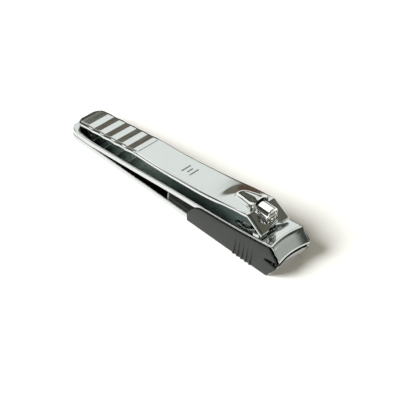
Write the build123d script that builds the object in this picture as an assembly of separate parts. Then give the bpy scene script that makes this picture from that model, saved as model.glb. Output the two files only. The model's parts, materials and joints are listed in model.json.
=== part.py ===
from build123d import *
import os
from math import atan2, cos, degrees, hypot, radians, sin

# A lever-type nail clipper with a nail catcher, its lever folded flat over the arms.
# Origin: on the post's axis, in the plane of the lower arm's flat underside.
# +X points to the cutting jaws, +Z up, and XZ is the plane of symmetry. Millimetres.

# Arms: two steel leaves that are riveted at the tail and diverge towards the jaws.
TAIL_X = -70.4
EDGE_X = 11.0
ARM_HALF_WIDTH = 6.7
JAW_TIP_HALF_WIDTH = 6.45
JAW_TAPER_X = 6.0
ARM_THICKNESS = 1.6
TAIL_CORNER_R = 3.2
FLEX_X = -61.5
MOUTH_LOW_Z = 5.3
MOUTH_HIGH_Z = 6.4
EDGE_LAND = 0.3
SCOOP_DEPTH = 0.9

# Upper arm's top line, from where it leaves the lower arm to the jaw's bend.
UPPER_TOP = [(FLEX_X, 2 * ARM_THICKNESS), (-45, 4.75), (-28, 6.45), (-9, 8.05), (7.3, 10.08)]
UPPER_BEND_MIDDLE = (7.78, 10.07)
UPPER_BEND = (8.1, 9.88)
UPPER_INSIDE = (6.4, 8.35)
UPPER_INSIDE_MIDDLE = (8.5, 7.9)
LOWER_BEND_X = 7.2

# Rivet that holds the arms together at the tail.
RIVET_X = -66.0
RIVET_R = 1.3
RIVET_HEAD_R = 2.1
RIVET_HEAD_H = 0.4
RIVET_GAP = 0.1

# Post: turns in the lower arm, and its head hooks over the lever's bar.
POST_R = 2.3
POST_FIT = 0.06
POST_FOOT_R = 3.5
POST_FOOT_H = 1.0
POST_HEAD_R = 2.4
POST_HEAD_Z = 13.5
POST_HEAD_REAR_X = -4.3
POST_HEAD_FRONT_X = 1.55
POST_HEAD_REAR_ROUND = 1.5
POST_HEAD_FRONT_ROUND = 0.35
NOTCH_CENTRE = (2.35, 11.0)
NOTCH_R = 0.95
UPPER_HOLE_R = 2.65

# Lever: stamped sheet with grip ridges, a hood over the post and a sloping forked leg.
SHEET = 1.25
BEND = (-3.45, 13.8)
FOOT = (2.75, 10.62)
LEG_HALF_T = 0.5
BAR_X = 2.0
BAR_R = 0.5
BAR_SUNK = 0.3
LEVER_TAIL = (-70.0, 4.6)
LEVER_HALF_TAIL = 5.1
LEVER_HALF_MIDDLE = 5.5
LEVER_HALF_FOOT = 6.0
RIDGES = 5
RIDGE_PITCH = 4.5
RIDGE_TREAD = 1.55
RIDGE_STEP = 0.14
RIDGE_STEP_LENGTH = 0.35
FIRST_RIDGE = (-63.25, 6.15)
GRIP_SLOPE = 0.14
TREAD_SLOPE = 0.1
PLATE_TOP = [(-36, 9.25), (-28, 10.15), (-19, 11.4), (-10, 13.05)]
GRIP_UNDER = [(-45, 7.35), (-60, 5.25)]
OPENING_HALF = 2.84
OPENING_START = 0.3

# Hood: stations along the plate as (x, half-width, height above the plate), and its upright lip.
HOOD = [(-11.3, 0.95, 0.7), (-10.0, 1.4, 1.95), (-7.5, 1.95, 2.5), (-5.2, 2.5, 2.75), (-3.2, 3.7, 2.85)]
HOOD_SLOPE = 0.18
HOOD_SHEET = 0.5
HOOD_LIP_X = -3.4

# Catcher: a slotted tray between the arms with a cheek plate on each side.
CHEEK_GAP = 0.08
CHEEK_T = 0.55
CHEEK_Z = 0.4
TRAY_Z = ARM_THICKNESS + 0.05
TRAY_T = 0.75
TRAY_REAR_X = -33.5
TRAY_SIDE_X = -30.5
TRAY_STEP_X = -21.0
TRAY_HALF_REAR = 5.9
TRAY_FRONT_X = 5.0
TRAY_WALL_X = -21.0
TRAY_WALL_Z = 4.0
TRAY_WALL_T = 0.8
TRAY_SLOT_HALF = 2.8
PEG = (2.4, 0.25, 1.2)
PEG_XS = (-14.0, 2.0)
RIBS = 5
RIB_PITCH = 1.5
FIRST_RIB_X = -4.1
RIB_WIDTH = 0.45
RIB_HEIGHT = 6.4
RIB_PROUD = 0.32

LEG_LENGTH = hypot(FOOT[0] - BEND[0], FOOT[1] - BEND[1])
LEG_ANGLE = atan2(BEND[1] - FOOT[1], FOOT[0] - BEND[0])
BAR_Z = BEND[1] - (BAR_X - BEND[0]) * sin(LEG_ANGLE) / cos(LEG_ANGLE)
CHEEK_INNER = ARM_HALF_WIDTH + CHEEK_GAP
CHEEK_OUTER = CHEEK_INNER + CHEEK_T


def slab(outline, half_width):
    """Solid whose XZ section is the closed outline, from -half_width to +half_width in Y."""
    return extrude(Plane.XZ * make_face(outline), amount=half_width, both=True)


def along_y(x, z, radius, half_width):
    """Round bar on an axis parallel to Y."""
    return Pos(x, 0, z) * Rot(90, 0, 0) * Cylinder(radius, 2 * half_width)


def below(z_top, depth):
    """Placement for a cylinder of the given depth whose top face is at z_top."""
    return Pos(0, 0, z_top - depth / 2)


def arm_plan():
    """Tall solid with the arms' plan outline: rounded tail corners and tapered jaw tips."""
    front_x = EDGE_X + 1
    side = [(JAW_TAPER_X, ARM_HALF_WIDTH), (front_x, JAW_TIP_HALF_WIDTH)]
    near = [(x, -y) for x, y in reversed(side)]
    rear = [(TAIL_X, -ARM_HALF_WIDTH), (TAIL_X, ARM_HALF_WIDTH)]
    strip = extrude(make_face(Polyline(*side, *near, *rear, close=True)), amount=20)
    tail_edges = strip.edges().filter_by(Axis.Z).group_by(Axis.X)[0]
    return Pos(0, 0, -5) * fillet(tail_edges, TAIL_CORNER_R)


def scoop(tip_z, slope):
    """Solid in front of a jaw's hollow face: a plan arc swept along the face's slope."""
    arc = ThreePointArc((EDGE_X, -ARM_HALF_WIDTH), (EDGE_X - SCOOP_DEPTH, 0), (EDGE_X, ARM_HALF_WIDTH))
    ahead = Polyline((EDGE_X, ARM_HALF_WIDTH), (EDGE_X, 9), (EDGE_X + 9, 9), (EDGE_X + 9, -9), (EDGE_X, -9),
                     (EDGE_X, -ARM_HALF_WIDTH))
    outline = Pos(0, 0, tip_z) * make_face(arc + ahead)
    direction = (-cos(slope), 0, sin(slope))
    return extrude(outline, amount=12, dir=direction) + extrude(outline, amount=-3, dir=direction)


def lower_arm():
    """Flat leaf with its jaw bent up, holed for the post, its foot and the rivet."""
    face_slope = radians(62)
    foot_x = EDGE_X - MOUTH_LOW_Z * cos(face_slope) / sin(face_slope)
    outline = (
        Polyline((TAIL_X, ARM_THICKNESS), (TAIL_X, 0), (LOWER_BEND_X, 0))
        + ThreePointArc((LOWER_BEND_X, 0), (8.25, 0.42), (foot_x + 0.75, 1.4))
        + Line((foot_x + 0.75, 1.4), (EDGE_X, MOUTH_LOW_Z))
        + Line((EDGE_X, MOUTH_LOW_Z), (EDGE_X - SCOOP_DEPTH - EDGE_LAND, MOUTH_LOW_Z))
        + ThreePointArc((EDGE_X - SCOOP_DEPTH - EDGE_LAND, MOUTH_LOW_Z), (8.55, 2.6), (6.4, ARM_THICKNESS))
        + Line((6.4, ARM_THICKNESS), (TAIL_X, ARM_THICKNESS))
    )
    arm = slab(outline, ARM_HALF_WIDTH) & arm_plan()
    arm -= scoop(MOUTH_LOW_Z, radians(180) + face_slope)
    arm -= below(POST_FOOT_H, 2) * Cylinder(POST_FOOT_R + POST_FIT, 2)
    arm -= below(3, 4) * Cylinder(POST_R + POST_FIT, 4)
    return arm - Pos(RIVET_X, 0, 1) * Cylinder(RIVET_R + 0.01, 4)


def upper_arm():
    """Leaf that rises from the rivet to a jaw bent down, holed for the post and the rivet."""
    t = ARM_THICKNESS
    face_slope = atan2(UPPER_BEND[1] - MOUTH_HIGH_Z, EDGE_X - UPPER_BEND[0])
    top = Spline(*UPPER_TOP, tangents=[(1, 0.06), (1, 0.12)])
    under_points = [(FLEX_X, t)] + [(x + 0.1, z - t) for x, z in UPPER_TOP[1:-1]] + [UPPER_INSIDE]
    under = Spline(*under_points, tangents=[(1, 0.06), (1, 0.1)])
    outline = (
        Polyline((FLEX_X, t), (TAIL_X, t), (TAIL_X, 2 * t), (FLEX_X, 2 * t))
        + top
        + ThreePointArc(UPPER_TOP[-1], UPPER_BEND_MIDDLE, UPPER_BEND)
        + Line(UPPER_BEND, (EDGE_X, MOUTH_HIGH_Z))
        + Line((EDGE_X, MOUTH_HIGH_Z), (EDGE_X - SCOOP_DEPTH - EDGE_LAND, MOUTH_HIGH_Z))
        + ThreePointArc((EDGE_X - SCOOP_DEPTH - EDGE_LAND, MOUTH_HIGH_Z), UPPER_INSIDE_MIDDLE, UPPER_INSIDE)
        + under
    )
    arm = slab(outline, ARM_HALF_WIDTH) & arm_plan()
    arm -= scoop(MOUTH_HIGH_Z, face_slope)
    arm -= Pos(0, 0, 9) * Cylinder(UPPER_HOLE_R, 6)
    return arm - Pos(RIVET_X, 0, 2) * Cylinder(RIVET_R + RIVET_GAP, 6)


def tail_rivet():
    """Flush below, with a low domed head that stands just clear of the upper arm."""
    head_z = 2 * ARM_THICKNESS + RIVET_GAP
    shank = Pos(0, 0, head_z / 2) * Cylinder(RIVET_R, head_z)
    head = Pos(0, 0, head_z + RIVET_HEAD_H / 2) * Cylinder(RIVET_HEAD_R, RIVET_HEAD_H)
    head = fillet(head.edges().sort_by(Axis.Z)[-1], RIVET_HEAD_H * 0.7)
    return Pos(RIVET_X, 0, 0) * (shank + head)


def post_head():
    """Barrel that lies along the lever, well rounded behind and lightly in front."""
    length = POST_HEAD_FRONT_X - POST_HEAD_REAR_X
    barrel = Rot(0, 90, 0) * Cylinder(POST_HEAD_R, length)
    rims = barrel.edges().filter_by(GeomType.CIRCLE).sort_by(Axis.X)
    barrel = fillet(rims[0], POST_HEAD_REAR_ROUND)
    front_rim = barrel.edges().filter_by(GeomType.CIRCLE).sort_by(Axis.X)[-1]
    barrel = fillet(front_rim, POST_HEAD_FRONT_ROUND)
    return Pos(POST_HEAD_REAR_X + length / 2, 0, POST_HEAD_Z) * barrel


def post():
    """Upset foot, plain shank, and a barrel head with a hooking notch under its front."""
    foot = Pos(0, 0, POST_FOOT_H / 2) * Cylinder(POST_FOOT_R, POST_FOOT_H)
    shank = Pos(0, 0, POST_HEAD_Z / 2) * Cylinder(POST_R, POST_HEAD_Z)
    return foot + shank + post_head() - along_y(*NOTCH_CENTRE, NOTCH_R, 4)


def ridge_line():
    """Points of the lever's grip: a ramp up to each tread, the tread, and a small step down."""
    points = []
    for index in range(RIDGES):
        front_x = FIRST_RIDGE[0] + index * RIDGE_PITCH
        front_z = FIRST_RIDGE[1] + GRIP_SLOPE * index * RIDGE_PITCH
        points.append((front_x - RIDGE_TREAD, front_z - TREAD_SLOPE * RIDGE_TREAD))
        points.append((front_x, front_z))
        if index < RIDGES - 1:
            points.append((front_x + RIDGE_STEP_LENGTH, front_z - RIDGE_STEP))
    return points


def lever_plate():
    """Ridged and curved top plate, from its drooping tail to the bend above the leg."""
    ridges = ridge_line()
    tail_x, tail_z = LEVER_TAIL
    top_end = (BEND[0] + 0.25, BEND[1] + 0.5)
    tail_curve = ThreePointArc(LEVER_TAIL, (-67.4, 5.45), ridges[0])
    grip = Polyline(*ridges)
    top = Spline(ridges[-1], *PLATE_TOP, top_end, tangents=[(1, TREAD_SLOPE), (1, HOOD_SLOPE)])
    under_start = (tail_x + 0.35, tail_z - 0.85)
    under_end = (BEND[0] - 0.5, BEND[1] - 0.55)
    plate_under = [(x, z - SHEET) for x, z in reversed(PLATE_TOP)]
    under = Spline(under_end, *plate_under, *GRIP_UNDER, under_start)
    outline = tail_curve + grip + top + Line(top_end, under_end) + under + Line(under_start, LEVER_TAIL)
    return slab(outline, LEVER_HALF_FOOT)


def lever_leg():
    """Sloping leg with rounded ends, from the bend to the two feet."""
    middle = ((BEND[0] + FOOT[0]) / 2, (BEND[1] + FOOT[1]) / 2)
    sheet = Box(LEG_LENGTH, 2 * LEVER_HALF_FOOT, 2 * LEG_HALF_T)
    leg = Pos(middle[0], 0, middle[1]) * Rot(0, degrees(LEG_ANGLE), 0) * sheet
    leg += along_y(*FOOT, LEG_HALF_T, LEVER_HALF_FOOT)
    return leg + along_y(*BEND, LEG_HALF_T, LEVER_HALF_FOOT)


def lever_plan():
    """Tall solid with the lever's plan outline: slightly tapered, with a rounded tail."""
    tail_x = LEVER_TAIL[0] - 0.2
    foot_x = FOOT[0] + LEG_HALF_T
    side = [(tail_x + 0.9, LEVER_HALF_TAIL - 0.4), (tail_x + 2.4, LEVER_HALF_TAIL), (-30, LEVER_HALF_MIDDLE),
            (-18, LEVER_HALF_FOOT - 0.15), (foot_x, LEVER_HALF_FOOT)]
    near = [(x, -y) for x, y in reversed(side)]
    outline = (
        ThreePointArc(near[-1], (tail_x, 0), side[0])
        + Polyline(*side)
        + Line(side[-1], near[0])
        + Polyline(*near)
    )
    return extrude(make_face(outline), amount=25)


def hood(shrink):
    """Bulge of the hood, widening to its lip; shrink gives its inside."""
    profiles = []
    hood_x, hood_z = PLATE_TOP[-1]
    for x, half_width, height in HOOD:
        plate_z = hood_z + (x - hood_x) * HOOD_SLOPE - SHEET / 2
        place = Plane(origin=(x, 0, plate_z), x_dir=(0, 1, 0), z_dir=(1, 0, 0))
        profiles.append(place * Ellipse(half_width - shrink, height + SHEET / 2 - shrink))
    return loft(profiles)


def lever():
    """Plate, hollow hood and leg in one sheet, with the leg's slot and the bar across it."""
    behind_lip = Pos(HOOD_LIP_X - 10, 0, 15) * Box(20, 8, 14)
    above_plate = Pos(-5, 0, 17.3) * Rot(0, -10, 0) * Box(24, 8, 9)
    body = (lever_plate() + lever_leg() + (hood(0) & above_plate & behind_lip)) & lever_plan()
    body -= hood(HOOD_SHEET) & behind_lip
    slot_length = 2 * LEG_LENGTH
    slot = Pos(slot_length / 2 - OPENING_START, 0, 0) * Box(slot_length, 2 * OPENING_HALF, 4)
    body -= Pos(BEND[0], 0, BEND[1]) * Rot(0, degrees(LEG_ANGLE), 0) * slot
    return body + along_y(BAR_X, BAR_Z, BAR_R, OPENING_HALF + BAR_SUNK)


def cheek(side):
    """Catcher side plate with a mouth notch and tapering grip ribs; side is +1 or -1."""
    outline = (
        Polyline((-21.7, CHEEK_Z), (-22.0, 2.2))
        + ThreePointArc((-22.0, 2.2), (-20.6, 4.9), (-17.5, 6.65))
        + Spline((-17.5, 6.65), (-5.0, 7.85), (7.2, 9.5), tangents=[(1, 0.06), (1, 0.13)])
        + Polyline((7.2, 9.5), (10.45, 6.5), (6.6, 5.75))
        + ThreePointArc((6.6, 5.75), (6.3, 5.3), (6.75, 4.95))
        + Polyline((6.75, 4.95), (10.55, 4.5), (10.3, 3.7), (8.3, 0.9), (7.6, CHEEK_Z), (-21.7, CHEEK_Z))
    )
    plate = Pos(0, CHEEK_INNER + CHEEK_T / 2, 0) * slab(outline, CHEEK_T / 2)
    for index in range(RIBS):
        rib_x = FIRST_RIB_X + index * RIB_PITCH
        wedge = Plane.YZ * make_face(Polyline((CHEEK_OUTER - 0.1, RIB_HEIGHT), (CHEEK_OUTER, RIB_HEIGHT),
                                              (CHEEK_OUTER + RIB_PROUD, CHEEK_Z - 0.2),
                                              (CHEEK_OUTER - 0.1, CHEEK_Z - 0.2), close=True))
        plate += Pos(rib_x - RIB_WIDTH / 2, 0, 0) * extrude(wedge, amount=RIB_WIDTH)
    for peg_x in PEG_XS:
        plate -= peg(peg_x)
    return plate if side > 0 else mirror(plate, Plane.XZ)


def peg(x):
    """Peg of the tray that plugs into a blind pocket of the cheek at +Y."""
    length, depth, height = PEG
    return Pos(x, CHEEK_INNER + depth / 2, 3.0) * Box(length, depth, height)


def catcher_tray():
    """Floor that lies on the lower arm, slotted for the post, with a wall under each cheek."""
    side = [(TRAY_SIDE_X, TRAY_HALF_REAR), (TRAY_STEP_X, TRAY_HALF_REAR), (TRAY_STEP_X, CHEEK_INNER),
            (TRAY_FRONT_X, CHEEK_INNER)]
    near = [(x, -y) for x, y in reversed(side)]
    rear_arc = ThreePointArc(near[-1], (TRAY_REAR_X, 0), side[0])
    outline = rear_arc + Polyline(*side) + Line(side[-1], near[0]) + Polyline(*near)
    tray = Pos(0, 0, TRAY_Z) * extrude(make_face(outline), amount=TRAY_T)
    tray -= Pos(8, 0, TRAY_Z) * Box(16, 2 * TRAY_SLOT_HALF, 4)
    tray -= Pos(0, 0, TRAY_Z) * Cylinder(TRAY_SLOT_HALF, 4)
    wall_height = TRAY_WALL_Z - TRAY_Z
    middle_x = (TRAY_WALL_X + TRAY_FRONT_X) / 2
    wall = Box(TRAY_FRONT_X - TRAY_WALL_X, TRAY_WALL_T, wall_height)
    wall = Pos(middle_x, CHEEK_INNER - TRAY_WALL_T / 2, TRAY_Z + wall_height / 2) * wall
    for peg_x in PEG_XS:
        wall += peg(peg_x)
    return tray + wall + mirror(wall, Plane.XZ)


PARTS = {
    "lower_arm": lower_arm(),
    "upper_arm": upper_arm(),
    "tail_rivet": tail_rivet(),
    "post": post(),
    "lever": lever(),
    "catcher_tray": catcher_tray(),
    "catcher_cheek_left": cheek(1),
    "catcher_cheek_right": cheek(-1),
}

os.makedirs("parts", exist_ok=True)
for name, solid in PARTS.items():
    export_step(solid, f"parts/{name}.step")
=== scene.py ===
import json
from math import atan2, ceil, cos, exp, hypot, pi, radians, sin, sqrt, tan

import bmesh
import bpy
import numpy as np
from mathutils import Matrix, Vector


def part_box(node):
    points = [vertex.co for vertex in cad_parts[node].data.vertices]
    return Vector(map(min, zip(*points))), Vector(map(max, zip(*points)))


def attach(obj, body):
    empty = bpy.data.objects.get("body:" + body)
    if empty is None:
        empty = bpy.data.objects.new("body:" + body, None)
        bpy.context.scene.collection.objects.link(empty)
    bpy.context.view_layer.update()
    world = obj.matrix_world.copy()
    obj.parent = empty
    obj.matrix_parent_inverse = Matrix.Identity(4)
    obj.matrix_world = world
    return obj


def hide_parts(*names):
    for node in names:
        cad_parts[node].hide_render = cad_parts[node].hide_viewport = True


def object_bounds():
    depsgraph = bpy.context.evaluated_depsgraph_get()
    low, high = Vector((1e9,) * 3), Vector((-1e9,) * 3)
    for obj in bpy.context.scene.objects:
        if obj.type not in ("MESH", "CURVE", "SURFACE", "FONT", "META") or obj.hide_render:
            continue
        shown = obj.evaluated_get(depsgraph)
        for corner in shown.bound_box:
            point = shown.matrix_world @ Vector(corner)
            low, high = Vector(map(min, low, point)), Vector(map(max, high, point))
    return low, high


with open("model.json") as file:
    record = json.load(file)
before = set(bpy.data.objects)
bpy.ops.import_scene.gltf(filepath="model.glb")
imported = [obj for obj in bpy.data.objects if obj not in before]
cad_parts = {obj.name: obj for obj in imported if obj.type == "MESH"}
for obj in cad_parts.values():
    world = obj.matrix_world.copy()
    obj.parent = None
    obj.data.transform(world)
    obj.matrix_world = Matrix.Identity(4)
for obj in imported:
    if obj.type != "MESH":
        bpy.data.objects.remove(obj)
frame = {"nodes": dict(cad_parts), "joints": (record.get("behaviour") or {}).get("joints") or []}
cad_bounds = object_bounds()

# A folded lever nail clipper. Shapes are worked out in millimetres and placed by the frame's boxes.
MM = 0.001
SCENE = bpy.context.scene


def box_mm(node):
    """Lowest and highest corners of a CAD node, in millimetres."""
    low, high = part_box(node)
    return low / MM, high / MM


def joint_mm(name):
    """Where a joint's axis passes, in millimetres."""
    found = [joint for joint in frame["joints"] if joint["name"] == name]
    return Vector(found[0].get("pos_m", (0, 0, 0))) / MM


UPPER_LOW, UPPER_HIGH = box_mm("upper_arm")
MOUTH_LOW = box_mm("lower_arm")[1].z
CHEEK_LOW, CHEEK_HIGH = box_mm("catcher_cheek_left")
BAR = joint_mm("lever_lift")
FLEX = joint_mm("jaw_squeeze")
RIVET_X = (box_mm("tail_rivet")[0].x + box_mm("tail_rivet")[1].x) / 2

# Arms: LEAF is their thickness, MOUTH_LOW and MOUTH_HIGH are the heights of the cutting edges, and 2-D
# points are (x, z).
LEAF = FLEX.z
ARM_HALF = UPPER_HIGH.y
TIP_HALF = ARM_HALF - 0.25
TAPER_X = 6.0
TAIL_X = UPPER_LOW.x
TAIL_CORNER = 3.2
TAIL_EDGE = 0.35
EDGE_X = 11.0
MOUTH_HIGH = 6.4
SCOOP = 0.9
EDGE_LAND = 0.3
LOWER_LAND = 0.6
ARM_ROUND = 0.3
UPPER_LINE = [(FLEX.x, 2 * LEAF), (-45, 4.75), (-28, 6.45), (-9, 8.05), (7.3, 10.08)]
UPPER_BEND = (7.88, 9.98)
UPPER_FACE = (8.6, 9.3)
UPPER_INSIDE = [(6.35, 8.36), (6.6, 8.38), (8.5, 7.95)]
UPPER_LEAN = 0.12
LOWER_BEND_X = 7.6
LOWER_BEND = [(7.2, 0), (8.25, 0.42)]
LOWER_FACE_Z = 1.4
LOWER_FACE_SLOPE = 62
LOWER_INSIDE = [(6.4, LEAF), (8.6, 2.7)]
RIVET_HOLE_R = 1.31
POST_GAP = 0.06
UPPER_POST_GAP = 0.35
UPPER_RIVET_GAP = 0.09

# Lever: SHEET is the plate's thickness. LEVER_WIDTHS, HOOD_LINE and OPENING_LINE hold half-widths along x,
# HOOD_LINE with the hood's height over the plate, and PLATE_LINE holds the height of the plate's top.
SHEET = 1.25
LEVER_TAIL = -70.0
LEVER_TAIL_Z = 4.6
BEND = Vector((-3.45, 13.8))
FOOT = Vector((2.75, 10.62))
LEG_THICK = 1.0
LEVER_ROUND = 0.46
LEVER_SHOULDER = 1.55
LEVER_WIDTHS = [(-70.0, 4.95), (-59, 5.0), (-49, 5.1), (-42, 5.2), (-29, 5.5), (-18, 5.85), (-9, 5.9),
                (-3, 5.8), (3.3, 6.0)]
PLATE_LINE = [(-45.25, 8.67), (-36, 9.25), (-28, 10.15), (-19, 11.4), (-10, 13.05), (-3.2, 14.28)]
RIDGES = 5
RIDGE_PITCH = 4.5
RIDGE_TREAD = 1.55
RIDGE_STEP = 0.14
RIDGE_FALL = 0.35
FIRST_RIDGE_X = -63.25
FIRST_RIDGE_Z = 6.15
RIDGE_FADE = (1.0, 0.35)
RIDGE_SOFT = 0.14
EDGE_SOFT = 0.9
EDGE_DROP = 0.05
GRIP_SLOPE = 0.14
GRIP_END = [(-44.0, 8.755), (-43.0, 8.83)]
GRIP_BLEND = (-45.6, -43.8)
TREAD_SLOPE = 0.1
PLATE_X = -43.5
TAIL_TURN = [(LEVER_TAIL, LEVER_TAIL_Z), (-69.0, 5.08), (-67.6, 5.45)]
TAIL_LENGTH = 3.1
TAIL_POWER = 2.35
TAIL_BLUNT = 0.15
GROOVE_X = -45.0
GROOVE_HALF = 0.13
GROOVE_DEPTH = 0.09
GROOVE_FADE = (1.2, 0.7)
MARK_X = -28.7
MARK_PITCH = 1.5
MARK_LENGTHS = (3.4, 2.0, 3.4)
MARK_WIDTH = 0.5
MARK_PROUD = 0.02
MARK_SUNK = 0.12
HOOD_NOSE_X = -11.7
HOOD_LIP_X = -3.4
HOOD_LINE = [(HOOD_NOSE_X, 0.0, 0.0), (-11.45, 0.75, 0.75), (-10.9, 1.1, 1.35), (-10.0, 1.4, 1.95),
             (-8.9, 1.67, 2.4), (-6.3, 2.25, 2.68), (-5.0, 2.55, 2.76), (-4.1, 3.0, 2.81),
             (HOOD_LIP_X, 3.7, 2.85)]
HOOD_SHELL = 0.42
HOOD_FILLET = 0.35
INNER_FILLET = 0.15
SWELL = 0.26
SWELL_SPREAD = 2.5
SWELL_START = (-15.5, -11.3)
SWELL_END = (-7.5, -3.7)
OPENING_LINE = [(HOOD_LIP_X, 3.35), (-2.4, 3.2), (-1.0, 3.0), (0.4, 2.84), (1.1, 2.66), (1.55, 2.3),
                (1.85, 1.85), (2.0, 1.72), (2.2, 1.82), (2.6, 2.4), (3.0, 3.0), (3.3, 3.4)]
BAR_R = 0.5

# Post: a shank and a flush foot, with a barrel head along x that the notch is cut from.
POST_R = 2.3
HEAD_R = 2.4
HEAD_Z = 13.5
HEAD_REAR_X = -4.3
HEAD_FRONT_X = 1.55
HEAD_REAR_ROUND = 1.5
HEAD_FRONT_ROUND = 0.4
NOTCH = Vector((2.35, 0, 11.0))
NOTCH_R = 0.9
FOOT_R = 3.5
FOOT_H = 1.0
PIN_VOXEL = 0.09

# Catcher: the arc of the tray's rear end, then the cheeks, whose outline's points are (x, z).
TONGUE_R = 7.3
TONGUE_CENTRE_X = -26.2
CHEEK_T = 0.55
CHEEK_FLOOR = CHEEK_LOW.z
CHEEK_REAR = [(-22.0, 2.2), (-20.6, 4.9)]
CHEEK_TOP = [(-17.5, 6.65), (-5, 7.85), (7.2, 9.5)]
CHEEK_NOSE = (10.45, 6.5)
CHEEK_NOTCH = [(6.7, 5.78), (6.3, 5.33), (6.75, 4.93)]
CHEEK_CHIN = [(10.55, 4.5), (10.3, 3.7), (8.3, 0.9)]
CHEEK_ROUND = 0.13
RIBS = 5
RIB_PITCH = 1.5
FIRST_RIB_X = -4.1
RIB_WIDTH = 0.45
RIB_TOP = 6.4
RIB_BOTTOM = 0.2
RIB_PROUD = 0.32
RIB_ROOT = 0.2
RIB_ROUND = 0.09


# ---------------------------------------------------------------- curves

def curve(points, x):
    """Smooth curve through points (x, a, b, ...), flat beyond its ends; returns the values at x."""
    count = len(points)
    if x <= points[0][0]:
        return np.array(points[0][1:], float)
    if x >= points[-1][0]:
        return np.array(points[-1][1:], float)
    index = max(i for i in range(count - 1) if points[i][0] <= x)
    here, there = np.array(points[index], float), np.array(points[index + 1], float)

    def slope(i):
        low, high = np.array(points[max(i - 1, 0)], float), np.array(points[min(i + 1, count - 1)], float)
        return (high[1:] - low[1:]) / (high[0] - low[0])

    span = there[0] - here[0]
    t = (x - here[0]) / span
    return ((2 * t ** 3 - 3 * t ** 2 + 1) * here[1:] + (t ** 3 - 2 * t ** 2 + t) * span * slope(index)
            + (3 * t ** 2 - 2 * t ** 3) * there[1:] + (t ** 3 - t ** 2) * span * slope(index + 1))


def smooth(value, low, high):
    """0 below low, 1 above high, and a smooth step between."""
    t = min(max((value - low) / (high - low), 0.0), 1.0)
    return t * t * (3 - 2 * t)


def steps(start, end, size):
    """Evenly spaced values from start to end, no further apart than size."""
    return list(np.linspace(start, end, max(2, int(ceil(abs(end - start) / size)) + 1)))


def arc(start, middle, end, count):
    """Points on the circle through three 2-D points."""
    (ax, ay), (bx, by), (cx, cy) = start, middle, end
    d = 2 * (ax * (by - cy) + bx * (cy - ay) + cx * (ay - by))
    sa, sb, sc = ax * ax + ay * ay, bx * bx + by * by, cx * cx + cy * cy
    ux = (sa * (by - cy) + sb * (cy - ay) + sc * (ay - by)) / d
    uy = (sa * (cx - bx) + sb * (ax - cx) + sc * (bx - ax)) / d
    radius = hypot(ax - ux, ay - uy)
    first, mid, last = (atan2(y - uy, x - ux) for x, y in (start, middle, end))
    turn = (last - first) % (2 * pi)
    if (mid - first) % (2 * pi) > turn:
        turn -= 2 * pi
    angles = [first + turn * i / (count - 1) for i in range(count)]
    return [(ux + radius * cos(a), uy + radius * sin(a)) for a in angles]


# ---------------------------------------------------------------- mesh helpers

def new_object(name, data):
    """Puts a mesh, light or camera into the scene."""
    piece = bpy.data.objects.new(name, data)
    SCENE.collection.objects.link(piece)
    return piece


def finish_mesh(name, bm, sharp=35, merge=0.002):
    """Merges doubled points, turns faces outwards and shades smooth up to the sharp angle."""
    bmesh.ops.remove_doubles(bm, verts=bm.verts, dist=merge)
    bmesh.ops.dissolve_degenerate(bm, edges=bm.edges, dist=merge / 4)
    bmesh.ops.recalc_face_normals(bm, faces=bm.faces)
    bmesh.ops.scale(bm, vec=(MM, MM, MM), verts=bm.verts)
    mesh = bpy.data.meshes.new(name)
    bm.to_mesh(mesh)
    bm.free()
    mesh.shade_smooth()
    mesh.set_sharp_from_angle(angle=radians(sharp))
    return new_object(name, mesh)


def bridge(bm, first, second, closed=False):
    """Quads between two rows of points."""
    count = len(first)
    for i in range(count if closed else count - 1):
        j = (i + 1) % count
        corners = [first[i], first[j], second[j], second[i]]
        if len(set(corners)) > 2:
            try:
                bm.faces.new(corners)
            except ValueError:
                pass


def skin(bm, rings):
    """Closed surface over a row of rings of points, with a face on each end."""
    for before, after in zip(rings, rings[1:]):
        bridge(bm, before, after, closed=True)
    bm.faces.new(rings[0])
    bm.faces.new(rings[-1])


def applied(piece):
    """Bakes a piece's modifiers into its mesh."""
    graph = bpy.context.evaluated_depsgraph_get()
    mesh = bpy.data.meshes.new_from_object(piece.evaluated_get(graph))
    piece.modifiers.clear()
    piece.data = mesh
    return piece


def revolve(name, start, direction, profile, count=96):
    """Closed surface of revolution; profile holds (distance along the axis, radius)."""
    side = direction.orthogonal().normalized()
    other = direction.cross(side)
    turns = [2 * pi * i / count for i in range(count)]
    rim = [side * cos(a) + other * sin(a) for a in turns]
    bm = bmesh.new()
    skin(bm, [[bm.verts.new(start + direction * along + radius * way) for way in rim]
              for along, radius in profile])
    return finish_mesh(name, bm)


def cylinder(name, start, end, radius, count=96):
    """Closed cylinder between two points in millimetres, for cutting."""
    run = end - start
    return revolve(name, start, run.normalized(), [(0, radius), (run.length, radius)], count)


def combine(piece, others, operation):
    """Adds or cuts other pieces, which are then deleted."""
    for other in others:
        change = piece.modifiers.new("combine", "BOOLEAN")
        change.operation = operation
        change.solver = "EXACT"
        change.object = other
    applied(piece)
    for other in others:
        bpy.data.objects.remove(other)
    return piece


def sharpen(piece, angle=35):
    """Shades a piece smooth, apart from edges over the angle."""
    piece.data.shade_smooth()
    piece.data.set_sharp_from_angle(angle=radians(angle))
    return piece


# ---------------------------------------------------------------- lever

def ridge_points():
    """The grip's line: a ramp up to each tread, the tread, and a small step down."""
    points = []
    for index in range(RIDGES):
        x = FIRST_RIDGE_X + index * RIDGE_PITCH
        z = FIRST_RIDGE_Z + GRIP_SLOPE * index * RIDGE_PITCH
        points.append((x - RIDGE_TREAD, z - TREAD_SLOPE * RIDGE_TREAD))
        points.append((x, z))
        if index < RIDGES - 1:
            points.append((x + RIDGE_FALL, z - RIDGE_STEP))
    return points


GRIP_POINTS = arc(*TAIL_TURN, 12) + ridge_points() + GRIP_END


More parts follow.
